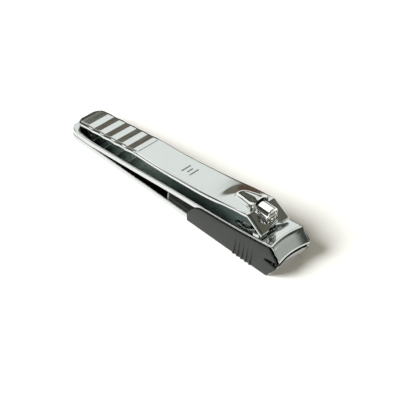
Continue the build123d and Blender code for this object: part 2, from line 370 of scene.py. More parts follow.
def grip_line(x, spread):
    """Height of the grip, averaged over x +- spread so that its corners are rounded."""
    xs, zs = zip(*GRIP_POINTS)
    offsets = np.linspace(-spread, spread, 9)
    return float(np.mean(np.interp(x + offsets, xs, zs)))


def plate_top(x, y):
    """Height of the lever's plate: ridges that fade towards its long edges, then the smooth plate."""
    plate = float(curve(PLATE_LINE, x)[0])
    if x > PLATE_X:
        return plate - groove(x, y) + swell(x, y)
    edge = smooth(abs(y), lever_half(x) - RIDGE_FADE[0], lever_half(x) - RIDGE_FADE[1])
    grip = grip_line(x, RIDGE_SOFT) * (1 - edge) + (grip_line(x, EDGE_SOFT) - EDGE_DROP) * edge
    share = smooth(x, *GRIP_BLEND)
    return grip * (1 - share) + plate * share - groove(x, y)


def swell(x, y):
    """Slight rise of the plate where the hood was drawn out of it."""
    along = smooth(x, *SWELL_START) * (1 - smooth(x, *SWELL_END))
    return SWELL * along * exp(-(y / SWELL_SPREAD) ** 2 / 2)


def groove(x, y):
    """Fine pressed line that ends the grip."""
    across = 1 - smooth(abs(y), lever_half(x) - GROOVE_FADE[0], lever_half(x) - GROOVE_FADE[1])
    return GROOVE_DEPTH * max(0.0, 1 - abs(x - GROOVE_X) / GROOVE_HALF) * across


def lever_half(x):
    """Half-width of the lever, with its rounded tail."""
    half = float(curve(LEVER_WIDTHS, x)[0])
    reach = min(max((x - LEVER_TAIL + TAIL_BLUNT) / TAIL_LENGTH, 0.0), 1.0)
    return half * (1 - (1 - reach) ** TAIL_POWER) ** (1 / TAIL_POWER)


def hood_shape(x):
    """Half-width and height of the hood over the plate."""
    if x <= HOOD_NOSE_X or x > HOOD_LIP_X + 0.01:
        return 0.0, 0.0
    width, height = curve(HOOD_LINE, x)
    return max(float(width), 0.0), max(float(height) - swell(x, 0.0), 0.0)


def edge_profile(half, thick, radius, spread=1.0):
    """Half section's rim as (y, share of thickness): rounded shoulder, side wall and lower corner.
    spread widens the shoulder into an ellipse."""
    top = min(radius, thick * 0.48, half * 0.3)
    low = top * 0.8
    quarter = [radians(15 * step) for step in range(7)]
    rows = [(half - top * spread * (1 - sin(a)), top * (1 - cos(a)) / thick) for a in quarter]
    return rows + [(half - low + low * cos(a), 1 - low * (1 - sin(a)) / thick) for a in quarter]


# The hood's arch in angles from its crown to its foot, then its fillet's points as shares of the fillet's
# reach and of the foot's height.
ARCH = [radians(angle) for angle in range(90, 9, -8)]
FILLET = [(0.10, 1.0), (0.45, 0.125), (1.0, 0.0)]
PLATE_COLUMNS = 16


def upper_row(width, height, opening, rim_y):
    """Top side of a half section as (y, lift, share of thickness): the hood, its fillet and the plate."""
    row = [(width * cos(a), height * sin(a), 0.0) for a in ARCH]
    foot = row[-1][1]
    start, reach = width, HOOD_FILLET * min(1.0, width / 0.6)
    if opening is not None:
        row[-1] = (opening, 0.0, 0.0)
        start, reach = opening, HOOD_FILLET
    row += [(start + along * reach, lift * foot, 0.0) for along, lift in FILLET]
    inner = row[-1][0]
    run = (rim_y - inner) / PLATE_COLUMNS
    return row + [(inner + run * step, 0.0, 0.0) for step in range(1, PLATE_COLUMNS)]


def lower_row(width, height, opening, rim_y, inner):
    """Underside of a half section, from the rim back to the hollow of the hood."""
    run = (rim_y - inner) / PLATE_COLUMNS
    row = [(inner + run * step, 0.0, 1.0) for step in reversed(range(PLATE_COLUMNS))]
    inside = max(width - HOOD_SHELL, 0.0)
    rise = max(height + SHEET - HOOD_SHELL, 0.0) * smooth(inside, 0.0, 0.7)
    start = inside if opening is None else opening
    row += [(start + point[0] * INNER_FILLET, 0.0, 1.0) for point in reversed(FILLET[:-1])]
    arch = [(inside * cos(a), rise * sin(a), 1.0) for a in reversed(ARCH)]
    if opening is not None:
        arch[0] = (opening, 0.0, 1.0)
    return row + arch


def lever_ring(x, top, bottom, opening):
    """Points of a half section of the lever, from the centre over the rim and back to the centre.
    top and bottom are 2-D points of the middle line; opening is the half-width of the leg's slot."""
    width, height = hood_shape(x)
    thick = (top - bottom).length
    down = (bottom - top) / thick
    rim = edge_profile(lever_half(x), thick, LEVER_ROUND, LEVER_SHOULDER)
    ring = upper_row(width, height, opening, rim[0][0])
    inner = ring[len(ARCH) + len(FILLET) - 1][0]
    ring += [(y, 0.0, share) for y, share in rim]
    ring += lower_row(width, height, opening, rim[-1][0], inner)
    points = []
    for y, lift, share in ring:
        place = top + down * thick * share
        relief = plate_top(x, y) - top.y if opening is None and share < 0.5 else 0.0
        points.append((place.x, y, place.y + lift + relief * (1 - 2 * share)))
    return points


# Stretches of the plate as (start, end, spacing of the stations), finer where the shape is.
PLATE_SPANS = [(-68.9, -46.0, 0.16), (-45.9, -43.6, 0.07), (-43, -16.5, 0.7), (-16.2, -12.2, 0.3),
               (-11.9, -10.5, 0.1), (-10.3, HOOD_LIP_X, 0.24)]
TAIL_ANGLES = (4, 12, 20, 30, 40, 50, 60, 75, 90)
TAIL_RUN = 0.9


def plate_slope(x):
    """Angle of the plate at x; the grip counts as one even ramp."""
    if x > PLATE_X or x < -67:
        return atan2(plate_top(x + 0.6, 0.0) - plate_top(x - 0.6, 0.0), 1.2)
    return atan2(GRIP_SLOPE, 1)


def plate_stations():
    """Stations of the plate: x, top point and bottom point, rounded off at the tail."""
    xs = [LEVER_TAIL + TAIL_RUN * (1 - cos(radians(angle))) for angle in TAIL_ANGLES]
    for start, end, spacing in PLATE_SPANS:
        xs += steps(start, end, spacing)
    rows = []
    for x in xs:
        top = Vector((x, plate_top(x, 0.0)))
        slope = plate_slope(x)
        round_off = sqrt(max(0.02, 1 - (1 - min((x - LEVER_TAIL + 0.02) / 0.5, 1.0)) ** 2))
        thick = SHEET * round_off
        sink = (SHEET - thick) / 2
        normal = Vector((-sin(slope), cos(slope)))
        head = top - normal * sink
        rows.append((x, head, head - normal * thick))
    return rows


BEND_STATIONS = 9
BEND_STEP = 0.11


def bend_stations():
    """Stations where the plate bends down into the leg and thins to its thickness."""
    (before_x, before_z), (last_x, last_z) = PLATE_LINE[-2:]
    plate_angle = atan2(last_z - before_z, last_x - before_x)
    leg_angle = -atan2(BEND.y - FOOT.y, FOOT.x - BEND.x)
    lip_top = Vector((HOOD_LIP_X, plate_top(HOOD_LIP_X, 0.0)))
    middle = lip_top - Vector((-sin(plate_angle), cos(plate_angle))) * SHEET / 2
    rows = []
    for step in range(BEND_STATIONS):
        share = step / (BEND_STATIONS - 1)
        angle = plate_angle + (leg_angle - plate_angle) * share
        thick = SHEET + (LEG_THICK - SHEET) * share
        normal = Vector((-sin(angle), cos(angle)))
        rows.append((middle.x, middle + normal * thick / 2, middle - normal * thick / 2))
        middle = middle + Vector((cos(angle), sin(angle))) * BEND_STEP
    return rows


def leg_stations():
    """Stations of the bend, the sloping leg and its rounded end."""
    rows = bend_stations()
    start = rows[-1][1].lerp(rows[-1][2], 0.5)
    run = FOOT - start
    direction = run.normalized()
    half = Vector((-direction.y, direction.x)) * LEG_THICK / 2
    for share in steps(0.06, 1.0, 0.06):
        middle = start + run * share
        rows.append((middle.x, middle + half, middle - half))
    for angle in (15, 30, 45, 60, 72, 82):
        a = radians(angle)
        middle = FOOT + direction * LEG_THICK / 2 * sin(a)
        rows.append((middle.x, middle + half * cos(a), middle - half * cos(a)))
    return rows


def lever_stamping():
    """The whole stamping in one closed surface: ridged plate, hollow hood and slotted leg."""
    bm = bmesh.new()
    first_leg_column = len(ARCH) - 1
    plates = [lever_ring(*station, None) for station in plate_stations()]
    legs = [lever_ring(*station, float(curve(OPENING_LINE, station[0])[0])) for station in leg_stations()]
    for side in (1, -1):
        rows = [[bm.verts.new((x, side * y, z)) for x, y, z in ring] for ring in plates]
        for before, after in zip(rows, rows[1:]):
            bridge(bm, before, after)
        bm.faces.new(rows[0])
        lip = rows[-1]
        last = len(lip) - 1
        for column in range(first_leg_column):
            bm.faces.new([lip[column], lip[column + 1], lip[last - column - 1], lip[last - column]])
        inner = slice(first_leg_column, len(lip) - first_leg_column)
        row = lip[inner]
        for ring in legs:
            after = [bm.verts.new((x, side * y, z)) for x, y, z in ring[inner]]
            bridge(bm, row, after, closed=True)
            row = after
        bm.faces.new(row)
    return finish_mesh("lever_stamping", bm, sharp=40)


def lever_bar():
    """Round bar between the two feet, with rounded ends inside them."""
    half = float(curve(OPENING_LINE, BAR.x)[0]) + 0.5
    end = [(0.0, 0.55 * BAR_R), (0.1, 0.85 * BAR_R), (0.25, BAR_R)]
    profile = end + [(2 * half - along, radius) for along, radius in reversed(end)]
    return revolve("lever_bar", Vector((BAR.x, -half, BAR.z)), Vector((0, 1, 0)), profile, 40)


def mark_outline(x, length):
    """Stadium outline of one bar of the mark, across the lever."""
    points = []
    for a in [2 * pi * step / 24 for step in range(24)]:
        end = length / 2 if sin(a) > 0 else -length / 2
        points.append((x + MARK_WIDTH / 2 * cos(a), end + MARK_WIDTH / 2 * sin(a)))
    return points


def mark_bar(name, x, length):
    """One filled engraved bar of the lever's generic mark: a low rounded lozenge let into the plate."""
    bm = bmesh.new()
    rings = []
    layers = ((-MARK_SUNK, 1.0, 1.0), (MARK_PROUD * 0.4, 1.0, 1.0), (MARK_PROUD, 0.82, 0.97))
    for lift, wide, long in layers:
        rings.append([bm.verts.new((x + (px - x) * wide, py * long, plate_top(px, py) + lift))
                      for px, py in mark_outline(x, length)])
    skin(bm, rings)
    return finish_mesh(name, bm, merge=0.0005)


# ---------------------------------------------------------------- arms

def arm_half(x):
    """Half-width of an arm: rounded tail corners and a slight taper towards the jaw."""
    half = ARM_HALF + (TIP_HALF - ARM_HALF) * min(max((x - TAPER_X) / (EDGE_X - TAPER_X), 0.0), 1.0)
    reach = (x - TAIL_X) / TAIL_CORNER
    if reach >= 1:
        return half
    return half - TAIL_CORNER * (1 - sqrt(max(0.0, 1 - (1 - max(reach, 0.0)) ** 2)))


def leaf_ring(half, thick, radius):
    """Closed section of a leaf as (y, share of thickness), with both rims rounded."""
    columns = 26
    rim = edge_profile(half, thick, radius)
    top, under = rim[0][0], rim[-1][0]
    ring = [(-top + 2 * top * step / columns, 0.0) for step in range(columns)]
    ring += rim
    ring += [(under - 2 * under * step / columns, 1.0) for step in range(1, columns)]
    return ring + [(-y, share) for y, share in reversed(rim)][:-1]


def leaf(name, stations, bend_x, lean):
    """Closed leaf from stations (outer point, inner point); the jaw's face is hollowed across its width.
    lean is how far the hollow sinks for each unit that it goes back."""
    bm = bmesh.new()
    rows = []
    for outer, inner in stations:
        x = outer[0]
        thick = hypot(outer[0] - inner[0], outer[1] - inner[1])
        half = arm_half(x)
        hollow = SCOOP * smooth(x, bend_x - 1.3, bend_x + 0.2)
        row = []
        for y, share in leaf_ring(half, thick, ARM_ROUND if x < EDGE_X - 1.5 else ARM_ROUND * 0.5):
            back = hollow * max(0.0, 1 - (y / half) ** 2)
            row.append(bm.verts.new((outer[0] + (inner[0] - outer[0]) * share - back, y,
                                     outer[1] + (inner[1] - outer[1]) * share - back * lean)))
        rows.append(row)
    skin(bm, rows)
    return finish_mesh(name, bm, sharp=38)


def resample(points, count):
    """Points at even distances along a polyline."""
    sums = [0.0]
    for (ax, ay), (bx, by) in zip(points, points[1:]):
        sums.append(sums[-1] + hypot(bx - ax, by - ay))
    marks = np.linspace(0, sums[-1], count)
    xs = np.interp(marks, sums, [p[0] for p in points])
    ys = np.interp(marks, sums, [p[1] for p in points])
    return list(zip(xs, ys))


def jaw_tip(outer, inner, count=40):
    """Paired stations round a jaw's bend and down to its cutting edge."""
    return list(zip(resample(outer, count), resample(inner, count)))


def tail_stations(low, high):
    """Stations of a leaf's flat tail, rounded off at its end."""
    rows = []
    for angle in (3, 10, 18, 26, 34, 42, 50, 60, 70, 80, 90):
        x = TAIL_X + TAIL_CORNER * (1 - cos(radians(angle)))
        reach = min((x - TAIL_X + 0.02) / TAIL_EDGE, 1.0)
        inset = (high - low) * 0.4 * (1 - sqrt(max(0.0, 1 - (1 - reach) ** 2)))
        rows.append(((x, high - inset), (x, low + inset)))
    return rows


def drilled(arm, holes):
    """Cuts upright round holes, given as (name, x, lowest and highest z, radius, points round the rim)."""
    cutters = [cylinder(name, Vector((x, 0, low)), Vector((x, 0, high)), radius, count)
               for name, x, low, high, radius, count in holes]
    return sharpen(combine(arm, cutters, "DIFFERENCE"), 38)


def upper_z(x):
    """Height of the upper arm's top."""
    return float(curve(UPPER_LINE, x)[0])


def upper_arm():
    """Leaf that rises from the rivet and bends down into the upper jaw."""
    stations = tail_stations(LEAF, 2 * LEAF)
    for x in steps(TAIL_X + TAIL_CORNER + 0.5, FLEX.x, 1.0):
        stations.append(((x, 2 * LEAF), (x, LEAF)))
    for x in steps(FLEX.x + 0.8, TAPER_X, 0.8):
        slope = (upper_z(x + 0.4) - upper_z(x - 0.4)) / 0.8
        stations.append(((x, upper_z(x)), (x + slope * LEAF, upper_z(x) - LEAF)))
    before = [(x, upper_z(x)) for x in steps(6.3, 6.9, 0.2)]
    bend = arc(before[-1], UPPER_BEND, UPPER_FACE, 13)
    outer = before + bend[1:] + [(EDGE_X - 0.12, MOUTH_HIGH + 0.42), (EDGE_X, MOUTH_HIGH)]
    first, *under = UPPER_INSIDE
    inner = [first] + arc(*under, (EDGE_X - EDGE_LAND, MOUTH_HIGH), 14)
    stations += jaw_tip(outer, inner)
    arm = leaf("upper_arm_leaf", stations, UPPER_LINE[-1][0], UPPER_LEAN)
    return drilled(arm, [("cut_post", 0, 4, 14, POST_R + UPPER_POST_GAP, 96),
                         ("cut_rivet", RIVET_X, 0, 5, RIVET_HOLE_R + UPPER_RIVET_GAP, 48)])


def lower_arm():
    """Flat leaf that bends up into the lower jaw, bored for the post and recessed for its foot."""
    stations = [((a, LEAF - b), (c, LEAF - d)) for (a, b), (c, d) in tail_stations(0, LEAF)]
    for x in steps(TAIL_X + TAIL_CORNER + 0.8, 5.6, 1.2):
        stations.append(((x, 0), (x, LEAF)))
    face_x = EDGE_X - MOUTH_LOW / tan(radians(LOWER_FACE_SLOPE)) + 0.75
    outer = [(TAPER_X, 0), (6.8, 0)] + arc(*LOWER_BEND, (face_x, LOWER_FACE_Z), 10) + [(EDGE_X, MOUTH_LOW)]
    inner = [(TAPER_X, LEAF)] + arc(*LOWER_INSIDE, (EDGE_X - LOWER_LAND, MOUTH_LOW), 14)
    stations += jaw_tip(outer, inner)
    arm = leaf("lower_arm_leaf", stations, LOWER_BEND_X, 0.0)
    return drilled(arm, [("cut_bore", 0, -2, 4, POST_R + POST_GAP, 96),
                         ("cut_recess", 0, -2, FOOT_H, FOOT_R + POST_GAP, 96),
                         ("cut_rivet", RIVET_X, -2, 4, RIVET_HOLE_R, 48)])


# ---------------------------------------------------------------- post

def head_profile():
    """Barrel along +X as (distance, radius): well rounded behind, lightly in front."""
    length = HEAD_FRONT_X - HEAD_REAR_X
    rear, front = HEAD_REAR_ROUND, HEAD_FRONT_ROUND
    rows = [(0.0, 0.02)]
    for a in [radians(angle) for angle in range(0, 91, 9)]:
        rows.append((rear * (1 - cos(a)), HEAD_R - rear + rear * sin(a)))
    for a in [radians(angle) for angle in range(0, 91, 15)]:
        rows.append((length - front * (1 - sin(a)), HEAD_R - front + front * cos(a)))
    return rows + [(length, (HEAD_R - front) * (1 - step / 9)) for step in range(1, 9)]


def post_pin():
    """Pin with a flush foot and a barrel head, cut by the hooking notch and then evened out."""
    head = revolve("post_head", Vector((HEAD_REAR_X, 0, HEAD_Z)), Vector((1, 0, 0)), head_profile())
    shank = revolve("post_pin", Vector((0, 0, 0)), Vector((0, 0, 1)),
                    [(0, FOOT_R - 0.15), (0.12, FOOT_R), (FOOT_H - 0.08, FOOT_R), (FOOT_H, FOOT_R - 0.1),
                     (FOOT_H + 0.02, POST_R), (HEAD_Z, POST_R)])
    across = Vector((0, 4, 0))
    notch = cylinder("cut_notch", NOTCH - across, NOTCH + across, NOTCH_R)
    pin = combine(shank, [head], "UNION")
    combine(pin, [notch], "DIFFERENCE")
    even = pin.modifiers.new("even", "REMESH")
    even.mode = "VOXEL"
    even.voxel_size = PIN_VOXEL * MM
    soft = pin.modifiers.new("soft", "SMOOTH")
    soft.iterations = 6
    soft.factor = 0.5
    return sharpen(applied(pin), 60)


# ---------------------------------------------------------------- catcher

def cheek_outline():
    """The cheek's side outline as (x, z), with its mouth notch."""
    top = [(x, float(curve(CHEEK_TOP, x)[0])) for x in steps(-16, 6.9, 1.6)]
    points = [(-21.7, CHEEK_FLOOR)] + arc(*CHEEK_REAR, CHEEK_TOP[0], 12) + top
    points += [CHEEK_TOP[-1], CHEEK_NOSE] + arc(*CHEEK_NOTCH, 7)
    return points + CHEEK_CHIN + [(7.6, CHEEK_FLOOR)]


def prism(name, near, far):
    """Closed solid between two matching outlines of 3-D points."""
    bm = bmesh.new()
    skin(bm, [[bm.verts.new(point) for point in outline] for outline in (near, far)])
    return finish_mesh(name, bm)


def rib(x, outer, side):
    """Grip rib that tapers from the cheek's face at its top to its full height at its foot."""
    section = [(outer - RIB_ROOT, RIB_TOP), (outer + 0.02, RIB_TOP), (outer + RIB_PROUD, RIB_BOTTOM + 0.5),
               (outer + RIB_PROUD, RIB_BOTTOM), (outer - RIB_ROOT, RIB_BOTTOM)]
    near = [(x - RIB_WIDTH / 2, side * y, z) for y, z in section]
    far = [(x + RIB_WIDTH / 2, side * y, z) for y, z in section]
    return soften(prism("rib", near, far), RIB_ROUND)


def cheek(name, side):
    """Moulded cheek plate with softened edges and five tapering grip ribs."""
    outer = CHEEK_HIGH.y - RIB_PROUD
    near = [(x, side * (outer - CHEEK_T), z) for x, z in cheek_outline()]
    far = [(x, side * outer, z) for x, z in cheek_outline()]
    plate = soften(prism(name, near, far), CHEEK_ROUND)
    ribs = [rib(FIRST_RIB_X + index * RIB_PITCH, outer, side) for index in range(RIBS)]
    return sharpen(combine(plate, ribs, "UNION"), 40)


def bevelled(piece, width, angle):
    """Gives a piece a modifier that rounds its edges over the angle."""
    bevel = piece.modifiers.new("soften", "BEVEL")
    bevel.width = width * MM
    bevel.segments = 3
    bevel.limit_method = "ANGLE"
    bevel.angle_limit = radians(angle)


def soften(piece, width):
    """Rounds a piece's edges in its mesh."""
    bevelled(piece, width, 30)
    return sharpen(applied(piece), 40)


# ---------------------------------------------------------------- node graphs

class Graph:
    """Short calls for building the node tree of a material or world."""

    def __init__(self, owner):
        owner.use_nodes = True
        self.owner = owner
        self.tree = owner.node_tree
        self.tree.nodes.clear()

    def node(self, kind, inputs=None, **settings):
        """Adds a node; inputs are values or other nodes' outputs."""
        made = self.tree.nodes.new(kind)
        for key, value in settings.items():
            setattr(made, key, value)
        for key, value in (inputs or {}).items():
            if hasattr(value, "is_linked"):
                self.tree.links.new(value, made.inputs[key])
            else:
                made.inputs[key].default_value = value
        return made

    def math(self, operation, *values):
        """One sum on numbers or outputs."""
        return self.node("ShaderNodeMath", dict(enumerate(values)), operation=operation).outputs[0]

    def product(self, first, *others):
        """All the values multiplied together."""
        for other in others:
            first = self.math("MULTIPLY", first, other)
        return first

    def step(self, value, low, high):
        """Smooth step from 0 at low to 1 at high."""
        inputs = {"Value": value, "From Min": low, "From Max": high}
        return self.node("ShaderNodeMapRange", inputs, interpolation_type="SMOOTHSTEP").outputs[0]

    def mix(self, factor, first, second):
        """Blend of two colours."""
        inputs = {"Factor": factor, 6: first, 7: second}
        return self.node("ShaderNodeMix", inputs, data_type="RGBA").outputs[2]

    def noise(self, vector, scale, detail=3.0, rough=0.55):
        """Noise from 0 to 1; scale is per metre."""
        inputs = {"Vector": vector, "Scale": scale, "Detail": detail, "Roughness": rough}
        return self.node("ShaderNodeTexNoise", inputs).outputs[0]

    def streaks(self, vector, scale, detail=2.0):
        """Noise with its own scale along each axis, per metre."""
        stretched = self.node("ShaderNodeMapping", {"Vector": vector, "Scale": scale}).outputs[0]
        return self.noise(stretched, 1.0, detail)

    def split(self, vector):
        """The x, y and z of a vector."""
        return self.node("ShaderNodeSeparateXYZ", {0: vector}).outputs

    def bump(self, height, strength, distance, **inputs):
        """Normal tilted by a height; distance in millimetres."""
        inputs.update({"Height": height, "Strength": strength, "Distance": distance * MM})
        return self.node("ShaderNodeBump", inputs).outputs[0]

    def surface(self, shader):
        """Ends a material or world with a shader."""
        kind = "World" if isinstance(self.owner, bpy.types.World) else "Material"
        self.node(f"ShaderNodeOutput{kind}", {"Surface": shader.outputs[0]})


def rgba(red, green, blue):
    """Opaque colour."""
    return (red, green, blue, 1.0)


def shades(tint, spread):
    """A darker and a lighter shade of a colour."""
    return rgba(*(c * (1 - spread) for c in tint)), rgba(*(c * (1 + spread) for c in tint))


# ---------------------------------------------------------------- finishes

# Where the jaw's ground face begins, its colour, and the painted shade laid over it where it looks down.
GROUND_X = (7.9, 8.4)
GROUND = rgba(0.5, 0.52, 0.5)
JAW_PAINTED_SHADE = rgba(0.4, 0.38, 0.33)
# Painted shade on the lever's underside: its lighter colour at the tail, its darker colour at the middle,
# and where one turns into the other.
PAINTED_UNDERSIDE_REAR = rgba(0.5, 0.57, 0.56)
PAINTED_UNDERSIDE_FRONT = rgba(0.19, 0.235, 0.23)
PAINTED_UNDERSIDE_X = (-52.0, -18.0)
# Painted shade on the grip: its colour, how far its line beside the treads is from the middle, and
# where its streaks end on each ridge, as shares of the pitch.
GRIP_PAINTED_SHADE = rgba(0.13, 0.125, 0.115)
GRIP_SHADE_Y = 4.42
GRIP_SHADE_RAMP = (0.62, 0.5)
# Painted highlight on the round rear rim of the tray.
RIM_PAINTED_HIGHLIGHT = rgba(0.27, 0.28, 0.27)
# Noise scales per metre for the polishing lines, the grinding lines on a jaw and the streaks of painted
# shade on the grip.
POLISH_LINES = (60.0, 1400.0, 1400.0)
GRIND_LINES = (100.0, 1500.0, 100.0)
GRIP_SHADE_LINES = (2600.0, 150.0, 150.0)


def material_graph(name):
    """A new material and the graph that fills it."""
    material = bpy.data.materials.new(name)
    return material, Graph(material)


def ground_jaw(g, position, normal, colour, rough):
    """Satin ground face of a jaw, with painted shade where it looks down; returns the colour and the
    roughness with it.
    """
    facing = g.split(normal)
    on_jaw = g.step(g.split(position)[0], *(x * MM for x in GROUND_X))
    forward = g.product(g.step(facing[0], 0.45, 0.6), on_jaw)
    rough = g.math("ADD", rough, g.product(forward, 0.09))
    colour = g.mix(g.product(forward, g.streaks(position, GRIND_LINES), 0.35), colour, GROUND)
    # Painted shade where the jaw's ground face looks down.
    colour = g.mix(g.product(forward, g.step(facing[2], -0.1, -0.35)), colour, JAW_PAINTED_SHADE)
    return colour, rough


def lever_faces(g, position, normal, colour, rough):
    """Duller underside with painted shade, and painted shade on the grip; returns the colour and the
    roughness with them.
    """
    below = g.step(g.split(normal)[2], -0.3, -0.6)
    rough = g.math("ADD", rough, g.product(below, 0.2))
    forward = g.step(g.split(position)[0], *(x * MM for x in PAINTED_UNDERSIDE_X))
    # The underside's colour is painted shade: lighter at the tail, darker towards the middle.
    colour = g.mix(below, colour, g.mix(forward, PAINTED_UNDERSIDE_REAR, PAINTED_UNDERSIDE_FRONT))
    # Painted shade in streaks on the grip's ramps and in a line beside its treads.
    return g.mix(grip_painted_shade(g, position), colour, GRIP_PAINTED_SHADE), rough


def grip_painted_shade(g, position):
    """How much painted shade lies beside the treads of the grip and, in streaks, across its ramps."""
    x, y = g.split(position)[:2]
    off_centre = g.math("ABSOLUTE", y)
    grip = g.product(g.step(x, -69.0 * MM, -68.5 * MM), g.step(x, -45.3 * MM, -45.5 * MM))
    aside = g.math("ABSOLUTE", g.math("SUBTRACT", off_centre, GRIP_SHADE_Y * MM))
    margin = g.step(aside, 0.34 * MM, 0.18 * MM)
    along = g.math("SUBTRACT", x, (FIRST_RIDGE_X + RIDGE_FALL) * MM)
    ridge = g.math("FRACT", g.math("DIVIDE", along, RIDGE_PITCH * MM))
    ramp = g.product(g.step(ridge, *GRIP_SHADE_RAMP), g.step(off_centre, 4.5 * MM, 4.3 * MM))
    patches = g.step(g.streaks(position, GRIP_SHADE_LINES), 0.42, 0.62)
    return g.product(grip, g.math("MAXIMUM", margin, g.product(ramp, patches, 0.5)), 0.85)


def chrome(name, tint, roughness, detail=None, peened=False):
    """Plated steel: faint clouding and fine polishing lines. detail adds a piece's own finish and painted
    shade, and peened adds the small dents of a riveting hammer to faces that look forward."""
    material, g = material_graph(name)
    place = g.node("ShaderNodeTexCoord")
    position, normal = place.outputs["Object"], place.outputs["Normal"]
    cloud = g.noise(position, 260.0, 4.0)
    lines = g.streaks(position, POLISH_LINES)
    colour = g.mix(cloud, *shades(tint, 0.035))
    rough = g.math("ADD", g.product(g.math("ADD", cloud, lines), 0.035), roughness - 0.035)
    if detail:
        colour, rough = detail(g, position, normal, colour, rough)
    tilt = g.bump(g.math("ADD", cloud, g.product(lines, 0.5)), 0.04, 0.02)
    if peened:
        facing = g.step(g.split(normal)[0], 0.6, 0.9)
        tilt = g.bump(g.noise(position, 1250.0, 1.0), facing, 0.22, Normal=tilt)
    g.surface(g.node("ShaderNodeBsdfPrincipled", {"Base Color": colour, "Metallic": 1.0, "Roughness": rough,
                                                 "Normal": tilt}))
    return material


def tray_rim_highlight(g, position, cloud):
    """How much painted highlight lies on the round rear rim of the tray."""
    x, y = g.split(position)[:2]
    along = g.math("SUBTRACT", x, TONGUE_CENTRE_X * MM)
    radius = g.math("SQRT", g.math("ADD", g.product(along, along), g.product(y, y)))
    rim = g.step(radius, (TONGUE_R - 0.45) * MM, (TONGUE_R - 0.1) * MM)
    return g.product(rim, g.step(x, -30.0 * MM, -31.0 * MM), g.step(cloud, 0.2, 0.5))


def plastic(name, tint, roughness, rim_highlight=False):
    """Moulded plastic: fine spark-eroded grain, slight unevenness of shade and, on the tray, a painted
    highlight on its rear rim.
    """
    material, g = material_graph(name)
    position = g.node("ShaderNodeTexCoord").outputs["Object"]
    cloud = g.noise(position, 180.0, 3.0)
    grain = g.noise(position, 5200.0, 2.0)
    colour = g.mix(cloud, *shades(tint, 0.12))
    if rim_highlight:
        # Painted highlight on the tray's round rear rim.
        colour = g.mix(tray_rim_highlight(g, position, cloud), colour, RIM_PAINTED_HIGHLIGHT)
    rough = g.math("ADD", g.product(grain, 0.12), roughness - 0.06)
    g.surface(g.node("ShaderNodeBsdfPrincipled", {"Base Color": colour, "Roughness": rough,
                                                 "Specular IOR Level": 0.35,
                                                 "Normal": g.bump(grain, 0.35, 0.03)}))
    return material


def filled_mark():
    """Dark filling of the engraved mark, slightly worn."""
    material, g = material_graph("mark_filling")
    wear = g.noise(g.node("ShaderNodeTexCoord").outputs["Object"], 1500.0, 4.0)
    colour = g.mix(g.step(wear, 0.45, 0.75), rgba(0.10, 0.105, 0.10), rgba(0.22, 0.225, 0.215))
    rough = g.math("ADD", wear, 0.05)
    g.surface(g.node("ShaderNodeBsdfPrincipled", {"Base Color": colour, "Roughness": rough}))
    return material


# ---------------------------------------------------------------- studio

# What the chrome mirrors, by direction. Each panel has its middle azimuth, half width, lowest and highest
# elevation, softness of the border (all in degrees) and colour; a later panel covers an earlier one.
ROOM_DARK = rgba(0.022, 0.03, 0.026)
ROOM_LIGHT = rgba(0.17, 0.165, 0.13)
ROOM_MOTTLE = (2.2, 2.2, 7.0)
PANELS = [
    (150, 60, 14, 21.5, 2.0, rgba(0.20, 0.185, 0.15)),
    (131, 35, 23.5, 60, 2.0, rgba(1.04, 1.08, 1.05)),
    (168, 64, 50, 80, 3.0, rgba(1.1, 1.1, 1.07)),
    (-158, 22, 46, 64, 3.0, rgba(1.9, 1.9, 1.9)),
    (130.0, 5.5, 17, 26.0, 0.8, rgba(0.12, 0.075, 0.045)),
    (53, 25, -12, 31, 4.0, rgba(0.52, 0.545, 0.51)),
    (-46, 28, 18, 42, 5.0, rgba(0.75, 0.77, 0.74)),
    (-30, 12, 0, 14, 4.0, rgba(0.95, 0.74, 0.64)),
    (-75, 14, -2, 12, 4.0, rgba(0.8, 0.85, 0.88)),
]


def panel(g, direction, azimuth, half, low, high, soft):
    """Where a panel stands in the room, with a soft border."""
    x, y, z = g.split(direction)
    height = g.product(g.math("ARCSINE", z), 180 / pi)
    c, s = cos(radians(azimuth)), sin(radians(azimuth))
    ahead = g.math("ADD", g.product(x, c), g.product(y, s))
    aside = g.math("SUBTRACT", g.product(y, c), g.product(x, s))
    turn = g.math("ABSOLUTE", g.product(g.math("ARCTAN2", aside, ahead), 180 / pi))
    return g.product(g.step(turn, half + soft, half - soft), g.step(height, low - soft, low + soft),
                     g.step(height, high + soft, high - soft))


def room_world():
    """Dark room with soft panels for mirror rays, even light for matt ones and a pale backdrop."""
    SCENE.world = bpy.data.worlds.new("room")
    g = Graph(SCENE.world)
    direction = g.node("ShaderNodeTexCoord").outputs["Generated"]
    mottle = g.streaks(direction, ROOM_MOTTLE, 3.0)
    colour = g.mix(g.step(mottle, 0.38, 0.68), ROOM_DARK, ROOM_LIGHT)
    for *place, tint in PANELS:
        colour = g.mix(panel(g, direction, *place), colour, tint)
    seen = g.node("ShaderNodeLightPath")
    mirror = g.node("ShaderNodeBackground", {"Color": colour})
    even = g.node("ShaderNodeBackground", {"Color": rgba(1.0, 0.96, 0.79), "Strength": 0.35})
    backdrop = g.node("ShaderNodeBackground", {"Color": rgba(0.93, 0.93, 0.92)})
    first = g.node("ShaderNodeMixShader", {0: seen.outputs["Is Diffuse Ray"], 1: mirror.outputs[0],
                                          2: even.outputs[0]})
    second = g.node("ShaderNodeMixShader", {0: seen.outputs["Is Camera Ray"], 1: first.outputs[0],
                                           2: backdrop.outputs[0]})
    g.surface(second)


